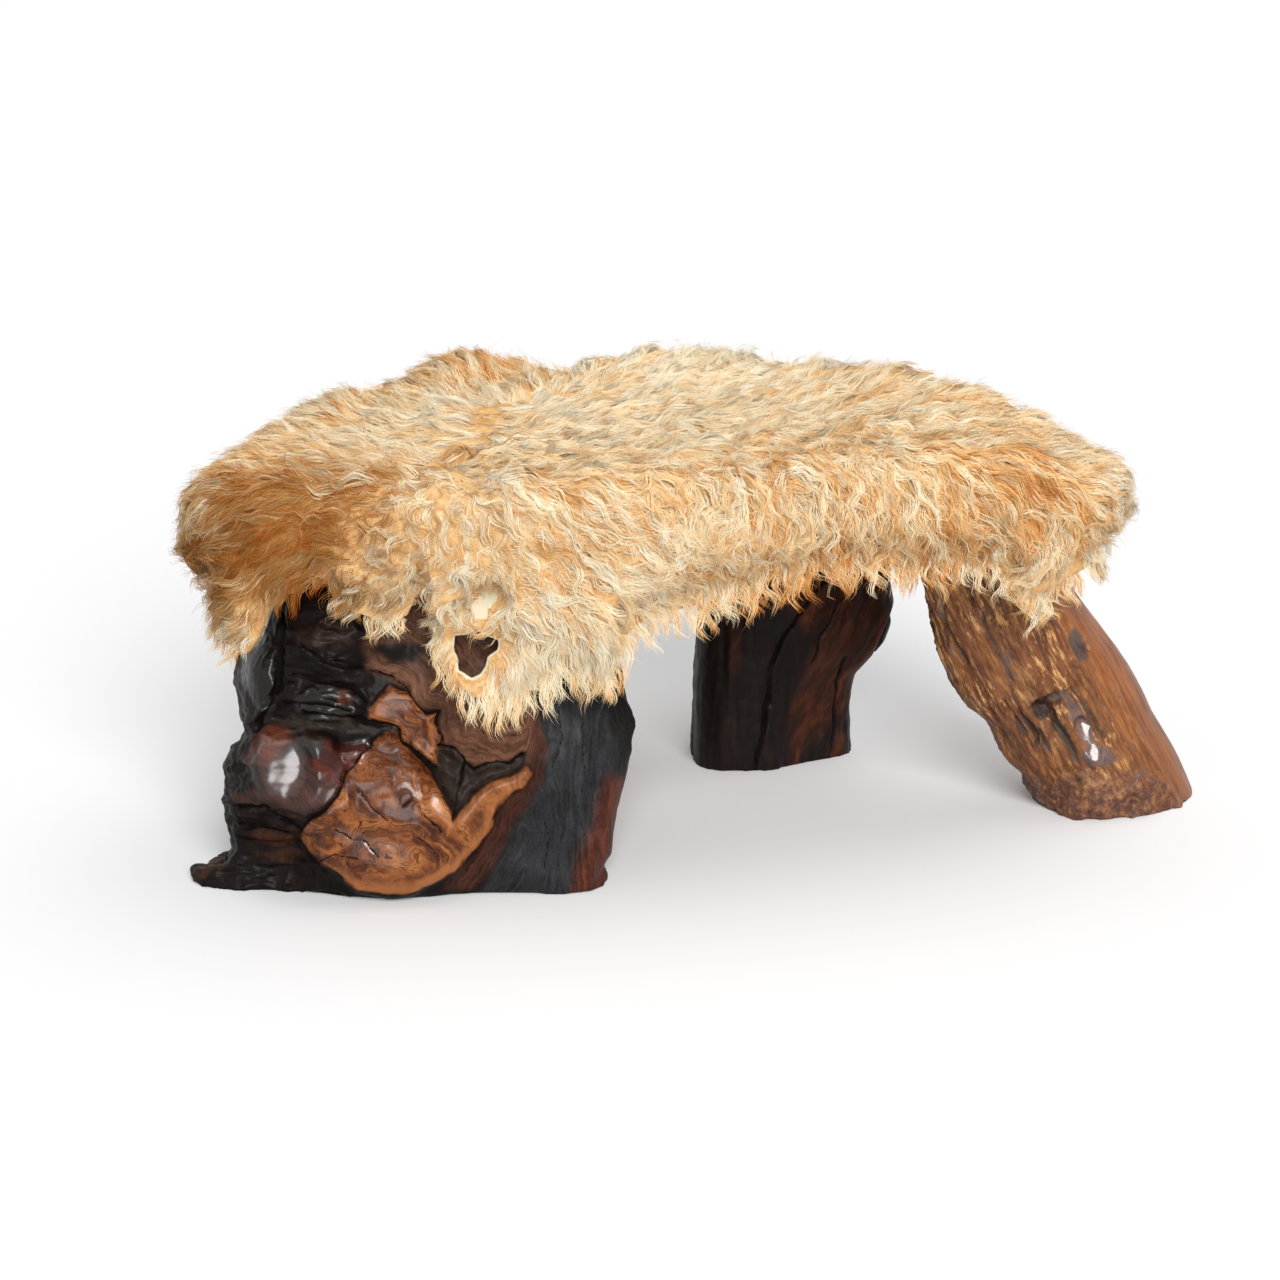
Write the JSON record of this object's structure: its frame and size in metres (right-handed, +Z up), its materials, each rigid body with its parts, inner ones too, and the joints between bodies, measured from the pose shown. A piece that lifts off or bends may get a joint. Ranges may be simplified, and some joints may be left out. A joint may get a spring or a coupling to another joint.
{
  "type": "rustic burl wood stool with a sheepskin seat",
  "caption": "Low rustic stool: a live-edge wooden seat under a tacked sheepskin, on a lacquered burl block, a dark upright leg and a splayed half-log leg.",
  "frame": {"origin": "on the floor, under the middle of the whole stool's box", "axes": "+X along the seat to the splayed leg, -Y to the front, where the burl block faces, +Z up"},
  "size_m": [0.8802, 0.491, 0.3622],
  "materials": {
    "fleece_wool": "long combed wool, cream with golden tips",
    "burl_lacquer": "gloss lacquer over dark figured burl",
    "dark_wood": "satin lacquer, nearly black with red streaks",
    "golden_wood": "satin lacquer over rough split wood",
    "slab_wood": "planed, unfinished",
    "dowel_wood": "turned, unfinished",
    "zinc_steel": "zinc plated",
    "tack_brass": "dull brass"
  },
  "bodies": {
    "root": {"seat_slab": "slab_wood", "burl_leg": "burl_lacquer", "back_leg": "dark_wood", "right_leg": "golden_wood", "sheepskin": "fleece_wool", "burl_lag_screw_1": "zinc_steel", "burl_lag_washer_1": "zinc_steel", "burl_lag_screw_2": "zinc_steel", "burl_lag_washer_2": "zinc_steel", "burl_lag_screw_3": "zinc_steel", "burl_lag_washer_3": "zinc_steel", "burl_dowel": "dowel_wood", "back_lag_screw_1": "zinc_steel", "back_lag_washer_1": "zinc_steel", "back_lag_screw_2": "zinc_steel", "back_lag_washer_2": "zinc_steel", "back_dowel": "dowel_wood", "right_lag_screw_1": "zinc_steel", "right_lag_washer_1": "zinc_steel", "right_lag_screw_2": "zinc_steel", "right_lag_washer_2": "zinc_steel", "right_dowel": "dowel_wood", "hide_tack_01": "tack_brass", "hide_tack_02": "tack_brass", "hide_tack_03": "tack_brass", "hide_tack_04": "tack_brass", "hide_tack_05": "tack_brass", "hide_tack_06": "tack_brass", "hide_tack_07": "tack_brass", "hide_tack_08": "tack_brass", "hide_tack_09": "tack_brass", "hide_tack_10": "tack_brass", "hide_tack_11": "tack_brass", "hide_tack_12": "tack_brass"}
  },
  "joints": []
}
